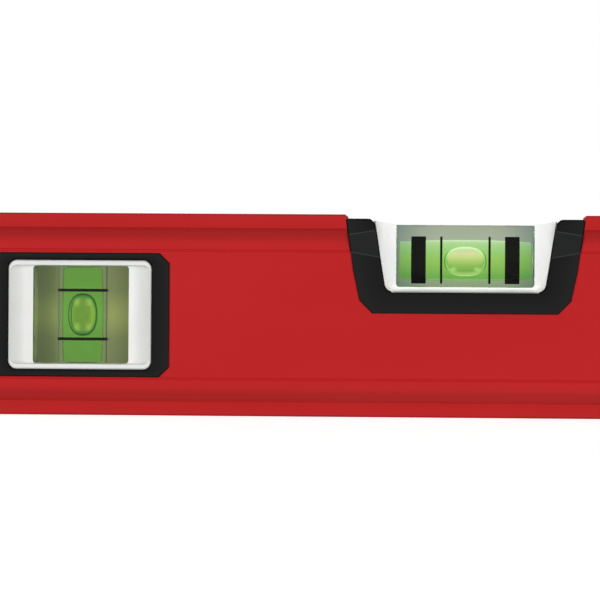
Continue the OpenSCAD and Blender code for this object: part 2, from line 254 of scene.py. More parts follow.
def cad_copy(node, edge):
    """A CAD node's mesh, welded, without the triangles of its flats and with rounded edges."""
    weld, flat, sharp_from = 0.001 * MM, math.radians(0.5), math.radians(50)
    bm = bmesh.new()
    bm.from_mesh(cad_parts[node].data)
    bmesh.ops.remove_doubles(bm, verts=bm.verts, dist=weld)
    bmesh.ops.dissolve_limit(bm, angle_limit=flat, verts=bm.verts, edges=bm.edges)
    sharp = [e for e in bm.edges if len(e.link_faces) == 2 and e.calc_face_angle() > sharp_from]
    bmesh.ops.bevel(bm, geom=sharp, offset=edge * MM, segments=2, profile=0.5,
                    affect="EDGES", clamp_overlap=True)
    bmesh.ops.recalc_face_normals(bm, faces=bm.faces)
    return bm


# ---- material helpers ----

def new_material(name, constants):
    """Material whose Principled shader has the given constants on its own sockets."""
    made = bpy.data.materials.new(name)
    made.use_nodes = True
    shader = made.node_tree.nodes["Principled BSDF"]
    for socket, value in constants.items():
        shader.inputs[socket].default_value = value
    return made, made.node_tree, shader


def add_node(tree, kind, inputs=None, **settings):
    """Node with its settings and inputs. An input is a constant or another node's socket."""
    made = tree.nodes.new(kind)
    for name, value in settings.items():
        setattr(made, name, value)
    for name, value in (inputs or {}).items():
        if isinstance(value, bpy.types.NodeSocket):
            tree.links.new(value, made.inputs[name])
        else:
            made.inputs[name].default_value = value
    return made


def object_space(tree):
    """Place in the object's own space, in metres."""
    return add_node(tree, "ShaderNodeTexCoord").outputs["Object"]


def noise(tree, size, detail=2.0, stretch=(1, 1, 1)):
    """Noise whose features are about size millimetres across, longer where stretch is more than 1."""
    scale = [1 / s for s in stretch]
    mapped = add_node(tree, "ShaderNodeMapping", {"Vector": object_space(tree), "Scale": scale})
    return add_node(tree, "ShaderNodeTexNoise", {
        "Vector": mapped.outputs["Vector"], "Scale": 1 / (size * MM),
        "Detail": detail}).outputs["Fac"]


def height_share(tree, start, end):
    """0 to 1 up the object, from start to end in millimetres."""
    parts = add_node(tree, "ShaderNodeSeparateXYZ", {"Vector": object_space(tree)})
    return add_node(tree, "ShaderNodeMapRange", {
        "Value": parts.outputs["Z"], "From Min": start * MM, "From Max": end * MM}).outputs["Result"]


def even(colour):
    """Stops of a ramp that is the same all over."""
    return [(0.0, colour), (1.0, colour)]


def mirrored(ends, middle):
    """Stops of a ramp with one colour at both ends and another in the middle."""
    return [(0.0, ends), (0.5, middle), (1.0, ends)]


def ramp(tree, factor, stops):
    """Colour at each share of the way, as (share, (r, g, b)) pairs."""
    made = add_node(tree, "ShaderNodeValToRGB", {"Fac": factor})
    elements = made.color_ramp.elements
    while len(elements) < len(stops):
        elements.new(0.5)
    for element, (share, colour) in zip(elements, stops):
        element.position = share
        element.color = (*colour, 1)
    return made.outputs["Color"]


def mix(tree, factor, a, b, blend="MIX"):
    """Mixes two colours. Each is a constant or another node's socket."""
    made = add_node(tree, "ShaderNodeMix", data_type="RGBA", blend_type=blend)
    for index, value in ((0, factor), (6, a), (7, b)):
        if isinstance(value, bpy.types.NodeSocket):
            tree.links.new(value, made.inputs[index])
        else:
            made.inputs[index].default_value = value if index == 0 else (*value, 1)
    return made.outputs[2]


def math_node(tree, operation, a, b=0.0):
    """Result of an operation on a and b. Each is a number or another node's socket."""
    made = add_node(tree, "ShaderNodeMath", operation=operation)
    for index, value in enumerate((a, b)):
        if isinstance(value, bpy.types.NodeSocket):
            tree.links.new(value, made.inputs[index])
        else:
            made.inputs[index].default_value = value
    return made.outputs["Value"]


def fold(tree, axis, places):
    """Distance along an axis of the object, mirrored about each place in turn."""
    parts = add_node(tree, "ShaderNodeSeparateXYZ", {"Vector": object_space(tree)})
    value = parts.outputs[axis]
    for place in places:
        value = math_node(tree, "SUBTRACT", math_node(tree, "ABSOLUTE", value), place * MM)
    return math_node(tree, "ABSOLUTE", value)


def oval(tree, places_x, places_z, half_x, half_z):
    """0 in the middle of an oval and 1 on its outline, seen from the front or rear."""
    powers = []
    for axis, places, half in (("X", places_x, half_x), ("Z", places_z, half_z)):
        share = math_node(tree, "DIVIDE", fold(tree, axis, places), half * MM)
        powers.append(math_node(tree, "POWER", share, OVAL_FULLNESS))
    return math_node(tree, "POWER", math_node(tree, "ADD", *powers), 1 / OVAL_FULLNESS)


def bump(tree, shader, height, depth):
    """Relief of depth millimetres on the shader."""
    made = add_node(tree, "ShaderNodeBump", {"Height": height, "Strength": 1.0, "Distance": depth * MM})
    tree.links.new(made.outputs["Normal"], shader.inputs["Normal"])


def painted_light_share(tree):
    """Share of painted light and highlight, written to the mesh by skin."""
    return add_node(tree, "ShaderNodeAttribute", attribute_name="painted_light").outputs["Fac"]


def clear_to_light(tree, shader, tint):
    """Lets light through in a tint, so that what is behind the glass isn't in its shadow."""
    passing = add_node(tree, "ShaderNodeBsdfTransparent", {"Color": (*tint, 1)})
    rays = add_node(tree, "ShaderNodeLightPath")
    both = add_node(tree, "ShaderNodeMixShader", {"Fac": rays.outputs["Is Shadow Ray"]})
    tree.links.new(shader.outputs["BSDF"], both.inputs[1])
    tree.links.new(passing.outputs["BSDF"], both.inputs[2])
    output = tree.nodes["Material Output"]
    tree.links.new(both.outputs["Shader"], output.inputs["Surface"])


# ---- materials ----

def red_paint():
    """Powder coat on aluminium: satin red with a fine orange peel, and painted shade by height in each cove
    and on the rails.
    """
    made, tree, shader = new_material("red_powder_coat", {"Specular IOR Level": 0.09})
    rough = add_node(tree, "ShaderNodeMapRange", {
        "Value": add_node(tree, "ShaderNodeLayerWeight").outputs["Facing"],
        "From Min": 0.6, "From Max": 0.95, "To Min": 0.5, "To Max": 1.0})
    tree.links.new(rough.outputs["Result"], shader.inputs["Roughness"])
    cloud = noise(tree, 26, 3, (3, 1, 1))
    colour = ramp(tree, cloud, [(0.3, (0.487, 0.0105, 0.012)), (0.7, (0.507, 0.0125, 0.0145))])
    # painted shade by height: darker red in each cove and on the rails, where the shade falls
    height = math_node(tree, "DIVIDE", fold(tree, "Z", (middle_z,)), middle_z * MM)
    painted_cove_shade = ramp(tree, height, [
        (0.69, (0.98, 1, 1)), (0.73, (0.92, 1.2, 1.1)), (0.79, (0.79, 1.5, 1.3)), (0.82, (0.82, 1.7, 1.4)),
        (0.85, (0.89, 1.45, 1.15)), (0.87, (0.88, 0.87, 0.78)), (0.91, (0.94, 0.85, 0.75)),
        (0.96, (0.92, 1.03, 1.03))])
    tree.links.new(mix(tree, 1.0, colour, painted_cove_shade, "MULTIPLY"), shader.inputs["Base Color"])
    bump(tree, shader, noise(tree, 0.55), 0.012)
    return made


def black_plastic():
    """Matt moulded plastic with a fine spark-eroded grain, lighter where the mesh asks for painted highlights
    and painted light.
    """
    made, tree, shader = new_material("black_matt_plastic", {
        "Roughness": 0.55, "Specular IOR Level": 0.1})
    grain = noise(tree, 0.22)
    base = ramp(tree, grain, [(0.3, (0.0025, 0.0025, 0.0028)), (0.7, (0.0045, 0.0045, 0.0048))])
    # painted highlights along edges and facet lines, and painted light over the facet
    colour = mix(tree, painted_light_share(tree), base, (0.05, 0.052, 0.052))
    tree.links.new(colour, shader.inputs["Base Color"])
    bump(tree, shader, grain, 0.02)
    return made


def white_plastic(name, shade):
    """Satin white plastic, very slightly translucent. Its shade sets lighter and darker copies: painted light
    and shade.
    """
    made, tree, shader = new_material(name, {
        "Roughness": 0.42, "Specular IOR Level": 0.3, "Subsurface Weight": 0.15,
        "Subsurface Scale": 0.6 * MM})
    low, high = shade - 0.02, shade + 0.02
    colour = ramp(tree, noise(tree, 9), [(0.3, (low, low, low - 0.015)), (0.7, (high, high, high - 0.01))])
    tree.links.new(colour, shader.inputs["Base Color"])
    bump(tree, shader, noise(tree, 0.4), 0.004)
    return made


def rubber():
    """Dull black rubber with a coarse grain and a little dust."""
    made, tree, shader = new_material("black_rubber", {
        "Roughness": 0.8, "Specular IOR Level": 0.25, "Sheen Weight": 0.15})
    dust = noise(tree, 5, 4)
    colour = ramp(tree, dust, [(0.35, (0.010, 0.010, 0.011)), (0.75, (0.019, 0.019, 0.019))])
    tree.links.new(colour, shader.inputs["Base Color"])
    bump(tree, shader, noise(tree, 0.5, 3), 0.05)
    return made


def ink():
    """Printed black ring, slightly uneven in its gloss."""
    made, tree, shader = new_material("mark_ink_black", {"Specular IOR Level": 0.03})
    shade = noise(tree, 1.5)
    colour = ramp(tree, shade, [(0.3, (0.004, 0.004, 0.004)), (0.7, (0.007, 0.007, 0.007))])
    tree.links.new(colour, shader.inputs["Base Color"])
    rough = ramp(tree, shade, [(0.3, (0.65, 0.65, 0.65)), (0.7, (0.8, 0.8, 0.8))])
    tree.links.new(rough, shader.inputs["Roughness"])
    return made


def plug_plastic():
    """Grey-green plug, about as dark as the block's ends."""
    made, tree, shader = new_material("vial_plug_plastic", {"Roughness": 0.35})
    colour = ramp(tree, noise(tree, 2), [(0.3, (0.2, 0.25, 0.18)), (0.7, (0.24, 0.29, 0.21))])
    tree.links.new(colour, shader.inputs["Base Color"])
    return made


def acrylic(name, seen, ior, coat=0.0):
    """Clear acrylic. seen makes the socket of its tint in a node tree."""
    made, tree, shader = new_material(name, {
        "Roughness": 0.0, "IOR": ior, "Transmission Weight": 1.0, "Coat Weight": coat,
        "Coat Roughness": 0.03})
    tree.links.new(seen(tree), shader.inputs["Base Color"])
    clear_to_light(tree, shader, (0.97, 0.98, 0.95))
    return made


def centre_block_painted_shade(tree):
    """Nearly clear, with painted shade: darker and greener below and greyer towards the block's ends."""
    middle, tall = 40, 60        # an oval so tall that almost only the place along X counts
    # painted shade by height
    height = ramp(tree, height_share(tree, block_low.z, block_high.z), [
        (0.0, (0.5, 0.66, 0.41)), (0.12, (0.58, 0.76, 0.44)), (0.45, (0.7, 0.83, 0.57)),
        (0.75, (0.8, 0.92, 0.68)), (1.0, (0.72, 0.82, 0.6))])
    # painted shade towards the block's ends
    ends = ramp(tree, oval(tree, (0,), (middle,), SIGHT_HALF, tall), [
        (0.35, (1, 1, 1)), (0.6, (0.94, 0.93, 0.97)), (0.96, (0.6, 0.68, 0.75)), (1.0, (0.5, 0.54, 0.6))])
    return mix(tree, 1.0, height, ends, "MULTIPLY")


def plumb_block_painted_light(tree):
    """Painted light: olive from the light in the liquid, which gathers at mid-height beside the tube, with
    painted shade towards the block's ends and sides.
    """
    wide = 900                   # an oval so wide that almost only the height counts
    outward = math_node(tree, "SUBTRACT", fold(tree, "X", (0,)), (plumb_x - plumb_half) * MM)
    across = math_node(tree, "DIVIDE", outward, 2 * plumb_half * MM)
    # painted light and shade across the block, at mid-height and towards its ends
    middle = ramp(tree, across, [
        (0.0, (0.5, 0.55, 0.3)), (0.04, (0.40, 0.48, 0.16)), (0.24, (0.66, 0.78, 0.23)),
        (0.28, (0.42, 0.56, 0.25)), (0.72, (0.42, 0.56, 0.25)), (0.76, (0.52, 0.64, 0.2)),
        (0.86, (0.32, 0.42, 0.13)), (0.96, (0.28, 0.38, 0.12)), (1.0, (0.33, 0.3, 0.33))])
    ends = ramp(tree, across, [
        (0.0, (0.4, 0.42, 0.3)), (0.04, (0.23, 0.29, 0.11)), (0.24, (0.36, 0.42, 0.19)),
        (0.28, (0.38, 0.48, 0.24)), (0.72, (0.38, 0.48, 0.24)), (0.76, (0.26, 0.33, 0.13)),
        (0.86, (0.19, 0.25, 0.1)), (0.96, (0.19, 0.24, 0.11)), (1.0, (0.28, 0.26, 0.28))])
    height = ramp(tree, oval(tree, (0,), (plumb_z,), wide, PLUMB_SIGHT[1]), [
        (0.0, (1, 1, 1)), (0.5, (0.15, 0.15, 0.15)), (1.0, (0, 0, 0))])
    return mix(tree, height, ends, middle)


def centre_tube_tint(tree):
    """Nearly clear, with faint clouds."""
    return ramp(tree, noise(tree, 8), [(0.3, (0.95, 0.98, 0.93)), (0.7, (0.97, 1.0, 0.95))])


def plumb_tube_painted_shade(tree):
    """Clear, with painted shade along the edge of a round tube, darkest on the centre vial's side."""
    painted_line_start, painted_line_end = 5.8, 5.95  # distances of the painted dark line from the tube's axis
    facing = add_node(tree, "ShaderNodeLayerWeight").outputs["Facing"]
    edge = ramp(tree, facing, [
        (0.0, (0.97, 1.0, 0.95)), (0.62, (0.97, 1.0, 0.95)), (0.75, (0.55, 0.6, 0.5)),
        (1.0, (0.4, 0.45, 0.35))])
    side = add_node(tree, "ShaderNodeMapRange", {
        "Value": fold(tree, "X", (0,)), "From Min": (plumb_x - painted_line_start) * MM,
        "From Max": (plumb_x - painted_line_end) * MM})
    return mix(tree, side.outputs["Result"], edge, (0.3, 0.38, 0.27))


def liquid(name, start, end, seen, painted_glows):
    """Green liquid whose tint and painted glow change with height, from start to end: painted light and
    shade.
    """
    made, tree, shader = new_material(name, {
        "Roughness": 0.0, "IOR": 1.05, "Transmission Weight": 1.0, "Emission Strength": 1.0})
    height = height_share(tree, start, end)
    tree.links.new(ramp(tree, height, seen), shader.inputs["Base Color"])
    tree.links.new(ramp(tree, height, painted_glows), shader.inputs["Emission Color"])
    clear_to_light(tree, shader, (0.8, 0.95, 0.6))
    return made


def centre_green():
    """Deeper green below and pale along its top: painted shade and light, with painted highlights along its
    top and bottom edges.
    """
    return liquid(
        "centre_liquid_green", 34.0, 44.0,
        [(0.0, (0.42, 0.74, 0.3)), (0.15, (0.46, 0.77, 0.31)), (0.35, (0.62, 0.82, 0.33)),
         (0.5, (0.65, 0.85, 0.34)), (0.7, (0.65, 0.88, 0.46)), (0.9, (0.78, 0.92, 0.63)),
         (1.0, (0.95, 1.0, 0.95))],
        [(0.0, (0.17, 0.2, 0.15)), (0.05, (0.03, 0.08, 0.015)), (0.35, (0.055, 0.12, 0.025)),
         (0.5, (0.065, 0.135, 0.03)), (0.7, (0.07, 0.145, 0.045)), (0.93, (0.1, 0.155, 0.09)),
         (1.0, (0.28, 0.31, 0.26))])


def plumb_green():
    """Nearly even green, a little paler in the middle, with a painted glow."""
    return liquid("plumb_liquid_green", 12.8, 36.8, mirrored((0.5, 0.8, 0.3), (0.55, 0.85, 0.33)),
                  mirrored((0.033, 0.09, 0.02), (0.036, 0.1, 0.022)))


def air(name, heights, middle, zones, painted_glints, painted_glint_glow):
    """Air bubble in painted light, shade and reflection: tints and glow by height, first in the middle, then
    past each zone's oval.

    A zone is an oval's shape, the shares of it where the change starts and ends, tints and glow colours.
    """
    made, tree, shader = new_material(name, {
        "Roughness": 0.0, "IOR": 1.02, "Transmission Weight": 1.0, "Emission Strength": 1.0})
    height = height_share(tree, *heights)
    tint, glow = (ramp(tree, height, stops) for stops in middle)
    for shape, start, end, tints, painted_glows in zones:
        outside = add_node(tree, "ShaderNodeMapRange", {
            "Value": oval(tree, *shape), "From Min": start, "From Max": end}).outputs["Result"]
        tint = mix(tree, outside, tint, ramp(tree, height, tints))
        glow = mix(tree, outside, glow, ramp(tree, height, painted_glows))
    # painted glint marks, added to the painted glow
    painted_glint_spot = ramp(tree, oval(tree, *painted_glints), [(0.35, painted_glint_glow), (1.0, (0, 0, 0))])
    glow = mix(tree, 1.0, glow, painted_glint_spot, "ADD")
    tree.links.new(tint, shader.inputs["Base Color"])
    tree.links.new(glow, shader.inputs["Emission Color"])
    clear_to_light(tree, shader, (0.9, 1.0, 0.8))
    return made


def centre_air():
    """Pale at its top, green at its ends, and with a double lower outline: painted light and shade, with two
    painted glint marks below.
    """
    core, outline = ((0,), (39.15,), 4.45, 2.72), ((0,), (38.7,), 5.3, 3.5)
    middle = (
        [(0.0, (0.75, 0.82, 0.65)), (0.5, (0.95, 0.9, 0.8)), (1.0, (1, 0.94, 1))],
        [(0.2, (0, 0, 0.01)), (0.36, (0.03, 0.02, 0.02)), (0.5, (0.1, 0.05, 0.08)),
         (0.65, (0.21, 0.1, 0.15)), (0.76, (0.27, 0.1, 0.19)), (0.9, (0.19, 0.075, 0.2)),
         (1.0, (0.19, 0.075, 0.2))])
    zones = [
        (core, 0.95, 0.98,
         [(0.0, (0.6, 0.7, 0.6)), (0.5, (0.7, 0.9, 0.75)), (1.0, (1, 1, 1))],
         [(0.0, (0, 0, 0)), (0.15, (0.02, 0.02, 0.02)), (0.5, (0, 0.03, 0.01)), (0.8, (0.2, 0.21, 0.18)),
          (1.0, (0.32, 0.33, 0.34))]),
        (core, 1.06, 1.1,
         mirrored((0.95, 1, 1), (0.8, 1, 0.9)),
         [(0.0, (0.17, 0.09, 0.1)), (0.2, (0.12, 0.05, 0.06)), (0.5, (0, 0.06, 0.03)),
          (1.0, (0.05, 0.06, 0.05))]),
        (outline, 0.92, 0.95,
         [(0.0, (1, 1, 1)), (0.12, (0.7, 0.8, 0.7)), (0.3, (0.2, 0.38, 0.35)), (0.7, (0.2, 0.38, 0.35)),
          (0.9, (0.9, 0.9, 0.9)), (1.0, (1, 1, 1))],
         [(0.0, (0.4, 0.36, 0.32)), (0.12, (0.18, 0.17, 0.14)), (0.25, (0, 0, 0)), (0.75, (0, 0, 0)),
          (1.0, (0.16, 0.17, 0.16))])]
    painted_glints = ((0, 2.9), (36.9,), 1.0, 0.55)
    return air("centre_bubble_air", (35.2, 42.2), middle, zones, painted_glints, (0.14, 0.14, 0.13))


def plumb_air():
    """Green, with a painted light rim on the centre vial's side, a painted double outline on the other, and
    painted glint marks.
    """
    inner, rim = ((plumb_x,), (plumb_z,), 2.6, 6.5), ((plumb_x + 0.7,), (plumb_z,), 3.0, 7.0)
    core, ring = ((plumb_x,), (plumb_z,), 2.85, 4.3), ((plumb_x - 0.28,), (plumb_z,), 3.12, 4.9)
    outline = ((plumb_x,), (plumb_z,), 3.5, 5.3)
    green = mirrored((0.97, 0.87, 0.85), (0.95, 0.78, 0.72))
    # painted glow for the zones: dim, strong on the rim, or none
    dim_painted_glow, bright_painted_glow, dark = (0.05, 0.045, 0.01), (0.13, 0.12, 0.02), even((0, 0, 0))
    zones = [
        (inner, 0.65, 0.95, green, even(dim_painted_glow)),
        (rim, 0.75, 1.0, green, [(0.15, dim_painted_glow), (0.35, bright_painted_glow), (0.65, bright_painted_glow), (0.85, dim_painted_glow)]),
        (core, 0.96, 1.0, mirrored((0.45, 0.7, 0.8), (0.8, 0.85, 0.85)), dark),
        (ring, 0.93, 0.94, mirrored((0.33, 0.63, 0.75), (0.13, 0.22, 0.36)), dark),
        (ring, 1.01, 1.02, mirrored((0.4, 0.75, 0.9), (0.95, 0.95, 1)),
         [(0.2, (0, 0, 0)), (0.4, (0.02, 0.03, 0.03)), (0.6, (0.02, 0.03, 0.03)), (0.8, (0, 0, 0))]),
        (outline, 0.905, 0.925, even((0.01, 0.06, 0.16)), dark)]
    painted_glints = ((plumb_x, 1.4), (plumb_z, 3.1), 0.95, 1.4)
    return air("plumb_bubble_air", (19.5, 30.1), (green, even((0.02, 0.01, 0))), zones, painted_glints,
               (0.12, 0.12, 0.07))


# ---- pieces ----

def arm_inner(z):
    """Half width of the U opening at height z."""
    rise = (OPENING_TOP - OPENING_LOW) / (bezel_top - OPENING_FLOOR)
    return OPENING_LOW + rise * (z - OPENING_FLOOR)


def arm_outer(z):
    """Half width of the U bezel at height z, above its cut corner."""
    if z > KNEE[1]:
        return KNEE[0] + (bezel_half - KNEE[0]) * (z - KNEE[1]) / (bezel_top - KNEE[1])
    return BEZEL_LOW[0] + (KNEE[0] - BEZEL_LOW[0]) * (z - BEZEL_LOW[1]) / (KNEE[1] - BEZEL_LOW[1])


def opening_corner(inset, share):
    """Point on the rounded lower corner of the U opening, from its side to its floor."""
    lean = math.atan((OPENING_TOP - OPENING_LOW) / (bezel_top - OPENING_FLOOR))
    radius = OPENING_R - inset
    centre_z = OPENING_FLOOR + OPENING_R
    centre = (arm_inner(centre_z) - OPENING_R / math.cos(lean), centre_z)
    turn = -lean + (math.pi / 2 + lean) * share
    return (centre[0] + radius * math.cos(turn), centre[1] - radius * math.sin(turn))


def both_sides(half):
    """Sections of a whole U, from those of its half on the +X side."""
    return [(1, *section) for section in half] + [(-1, *section) for section in reversed(half)]


def bezel_sections():
    """Sections of half the U bezel, as (outer point, inner point, face depth, lip, painted light)."""
    slope = (bezel_front - LOW_FACE) / (UPPER_LINE[0] - LOWER_LINE[0])
    sections = []
    for i in range(CORNER_STEPS + 1):
        turn = math.pi / 2 * i / CORNER_STEPS
        outer = (arm_outer(bezel_top) - ARM_OUTER_R * (1 - math.sin(turn)),
                 bezel_top - ARM_OUTER_R * (1 - math.cos(turn)))
        inner = (arm_inner(bezel_top) + ARM_R * (1 - math.sin(turn)),
                 bezel_top - ARM_R * (1 - math.cos(turn)))
        sections.append((outer, inner, bezel_front - EDGE * (1 - math.sin(turn)), SLIVER, 0))
    for heights, depth in ((UPPER_LINE, bezel_front), (LOWER_LINE, LOW_FACE)):
        for offset in (LINE_HALF, 0, -LINE_HALF):
            outer_z, inner_z = heights[0] + offset, heights[1] + offset
            inside = (offset < 0) == (depth == bezel_front)
            # painted highlight along each facet line, and painted light over the facet beside it
            painted_light = 1 if offset == 0 else FACET_PAINTED_LIGHT if inside else 0
            face = depth + (slope * offset if inside and offset else 0)
            lip = SLIVER if outer_z > PANEL_TOP else LIP
            outer, inner = (arm_outer(outer_z), outer_z), (arm_inner(inner_z), inner_z)
            sections.append((outer, inner, face, lip, painted_light))
    sections.append((KNEE, (arm_inner(KNEE[1]), KNEE[1]), LOW_FACE, LIP, 0))
    for i in range(CORNER_STEPS + 1):
        share = i / CORNER_STEPS
        outer = (BEZEL_LOW[0] - CUT * share, BEZEL_LOW[1] - CUT * share)
        sections.append((outer, opening_corner(0, share), LOW_FACE, LIP, 0))
    return sections


def centre_bezel(node, face):
    """U-shaped moulding: a flat lower part, a slanted facet and arms out to the rails."""
    rings = []
    for side, outer, inner, depth, lip, painted_light in both_sides(bezel_sections()):
        width = math.dist(outer, inner)
        ring = [(*outer, CONTACT, 0)]
        # painted highlight on the rounding of the front outer edge
        ring += [(*between(outer, inner, inset / width), depth - drop, max(painted_light, EDGE_HIGHLIGHT))
                 for inset, drop in quarter(EDGE)]
        ring += [(*between(inner, outer, inset / width), depth - drop, painted_light)
                 for inset, drop in reversed(quarter(EDGE))]
        lip_point = between(outer, inner, lip / width)
        ring += [(*inner, SLIVER, 0), (*lip_point, SLIVER, 0), (*lip_point, CONTACT - SLIVER, 0)]
        rings.append([(side * x, face * y, z, w) for x, z, y, w in ring])
    piece(node, skin(rings), black)


def cradle_sections():
    """Sections of half the cradle, as (outer point, lip point, pocket point, scoop)."""
    top = span("centre_cradle")[1].z
    floor = OPENING_FLOOR + OPENING_R + CLEARANCE
    wall_x, block_top = block_high.x + CLEARANCE, block_high.z + CLEARANCE
    sections = []
    for share in (0, 0.3, 0.6, 1):
        z = top + (floor - top) * share
        z_in = block_top + (block_low.z + LIP_R - block_top) * share
        pocket_z = z_in + (z - z_in) * (wall_x - SIGHT_HALF) / (arm_inner(z) - SIGHT_HALF) * (1 - share)
        sections.append(((arm_inner(z) - CLEARANCE, z), (SIGHT_HALF, z_in), (wall_x, pocket_z), SCOOP_SIDE))
    for i in range(1, CORNER_STEPS + 1):
        share = i / CORNER_STEPS
        turn = math.pi / 2 * share
        lip = (SIGHT_HALF - LIP_R * (1 - math.cos(turn)), block_low.z + LIP_R * (1 - math.sin(turn)))
        pocket = (wall_x - SMALL_R * (1 - math.cos(turn)),
                  block_low.z - SLIVER + SMALL_R * (1 - math.sin(turn)))
        scoop = SCOOP_SIDE + (SCOOP_FLOOR - SCOOP_SIDE) * share
        sections.append((opening_corner(CLEARANCE, share), lip, pocket, scoop))
    return sections


def centre_cradle(node):
    """White moulding with a pocket for the block and faces that scoop down to it."""
    face, seat = span(node)[1].y, block_high.y + CLEARANCE
    rings = []
    for side, outer, lip, pocket, scoop in both_sides(cradle_sections()):
        front = [(*outer, face - WHITE_EDGE), (*between(outer, lip, SCOOP_START), face)]
        front += [(*between(outer, lip, t), face - (face - seat) * (1 - (1 - t) ** scoop))
                  for t in SCOOP_SHARES]
        ring = front + [(*pocket, seat), (*pocket, -seat)] + [(x, z, -y) for x, z, y in reversed(front)]
        rings.append([(side * x, -y, z) for x, z, y in ring])
    piece(node, skin(rings), lit_cradle_white)


def plumb_ring(loop, centre, face, depth, painted_light=0.0):
    """An (x, z) outline, moved to a plumb vial's window at a depth on the front or rear."""
    return [(centre.x + x, face * depth, centre.z + z, painted_light) for x, z in loop]


def plumb_bezel(node, face):
    """Frame with cut corners on the side panel and a sleeve through the beam's wall."""
    low, high = span(node)
    centre = (low + high) / 2
    half_w, half_h = (high.x - low.x) / 2, (high.z - low.z) / 2
    depth = max(abs(low.y), abs(high.y))
    open_w, open_h = PLUMB_OPENING
    sleeve = corner_loop(half_w - PLUMB_LIP - CLEARANCE, half_h - LIP, SMALL_R)
    rings = [plumb_ring(corner_loop(half_w, half_h, PLUMB_CUT, True), centre, face, CONTACT)]
    # painted highlight on the rounding of the outer edge
    for inset, drop in quarter(EDGE):
        outer = corner_loop(half_w - inset, half_h - inset, PLUMB_CUT - inset * CUT_SHRINK, True)
        rings.append(plumb_ring(outer, centre, face, depth - drop, EDGE_HIGHLIGHT))
    for inset, drop in reversed(quarter(EDGE)):
        inner = corner_loop(open_w + inset, open_h + inset, OPENING_R + inset)
        rings.append(plumb_ring(inner, centre, face, depth - drop))
    rings.append(plumb_ring(corner_loop(open_w, open_h, OPENING_R), centre, face, SLIVER))
    rings.append(plumb_ring(sleeve, centre, face, SLIVER))
    rings.append(plumb_ring(sleeve, centre, face, CONTACT - SLIVER))
    piece(node, skin(rings, cyclic=True), black)


def plumb_liner(node, face):
    """White half frame whose sides scoop down to the block."""
    low, high = span(node)
    centre = (low + high) / 2
    half_w, half_h = (high.x - low.x) / 2, (high.z - low.z) / 2
    depth = max(abs(low.y), abs(high.y))
    seat = plumb_high.y + CLEARANCE
    sight_w, sight_h = PLUMB_SIGHT
    outside = corner_loop(half_w, half_h, OPENING_R - CLEARANCE)
    rim = corner_loop(half_w - WHITE_EDGE, half_h - WHITE_EDGE, OPENING_R - CLEARANCE - WHITE_EDGE)
    rings = [plumb_ring(outside, centre, face, SLIVER), plumb_ring(outside, centre, face, depth - WHITE_EDGE),
             plumb_ring(rim, centre, face, depth)]
    flare_w, flare_h = half_w - WHITE_EDGE - LINER_STEP, sight_h + LINER_FLARE
    for t in (0, *SCOOP_SHARES):
        radius = LINER_R[0] + (LINER_R[1] - LINER_R[0]) * t
        loop = corner_loop(flare_w + (sight_w - flare_w) * t, flare_h + (sight_h - flare_h) * t, radius)
        rings.append(plumb_ring(loop, centre, face, depth - (depth - seat) * (1 - (1 - t) ** SCOOP_LINER)))
    pocket = corner_loop(sight_w + PLUMB_GRIP, sight_h + SLIVER, LINER_R[1])
    rings.append(plumb_ring(pocket, centre, face, seat))
    rings.append(plumb_ring(pocket, centre, face, SLIVER))
    piece(node, skin(rings, cyclic=True), shaded_liner_white)


def barrel(radius, distance):
    """Radius of the barrel bore at a distance from its middle."""
    return radius - BARREL_R + math.sqrt(BARREL_R ** 2 - distance ** 2)


def vial_block(node, material):
    """Clear block with small chamfers. It is drawn solid around its tube."""
    low, high = span(node)
    centre = (low + high) / 2
    size = high - low
    bm = bmesh.new()
    place = Matrix.Translation(centre * MM) @ Matrix.Diagonal((*(size * MM), 1))
    bmesh.ops.create_cube(bm, size=1, matrix=place)
    bmesh.ops.bevel(bm, geom=bm.edges, offset=BLOCK_EDGE * MM, segments=2, profile=0.5, affect="EDGES")
    piece(node, bm, material, crease=30)


def vial_tube(node, axis, material, end_wall):
    """Tube with a barrel bore, closed at one end."""
    centre, half, radius = axial(node, axis)
    bore = half - end_wall - SHOULDER
    profile = [(0, -half), (radius - TUBE_EDGE, -half), (radius, -half + TUBE_EDGE),
               (radius, half - TUBE_EDGE), (radius - TUBE_EDGE, half), (PLUG_R, half), (PLUG_R, bore)]
    places = [bore * (1 - 2 * i / BORE_STEPS) for i in range(BORE_STEPS + 1)]
    profile += [(barrel(bore_r + BORE_GAP, d), d) for d in places]
    profile.append((0, -bore))
    piece(node, lathe(profile, centre, axis), material)


def vial_plug(node, axis, material):
    """Plug with a bevelled rim in the tube's open end."""
    centre, half, radius = axial(node, axis)
    rim = [(radius - PLUG_EDGE, half), (radius, half - PLUG_EDGE)]
    profile = [(0, -half)] + [(r, -d) for r, d in rim] + list(reversed(rim)) + [(0, half)]
    piece(node, lathe(profile, centre, axis), material)


def vial_liquid(node, axis, material, end_gap=0.0):
    """Liquid column of the bore's barrel shape."""
    centre, half, _ = axial(node, axis)
    half -= end_gap
    ends = [(0, -half), (barrel(bore_r, half) - LIQUID_END, -half)]
    places = [(half - LIQUID_END) * (2 * i / LIQUID_STEPS - 1) for i in range(LIQUID_STEPS + 1)]
    profile = ends + [(barrel(bore_r, d), d) for d in places] + [(r, -d) for r, d in reversed(ends)]
    piece(node, lathe(profile, centre, axis), material)


def ring_marks(node, axis):
    """A pair of printed rings around the tube."""
    centre, reach, radius = axial(node, axis)
    inner = radius - MARK_T
    both = bmesh.new()
    for side in (-1, 1):
        start, end = side * reach, side * (reach - MARK_WIDTHS[node])
        profile = [(inner, start), (radius, start), (radius, end), (inner, end)]
        ring = lathe(profile, centre, axis, cyclic=True)
        mesh = bpy.data.meshes.new("ring")
        ring.to_mesh(mesh)
        ring.free()
        both.from_mesh(mesh)
        bpy.data.meshes.remove(mesh)
    piece(node, both, black_ink)


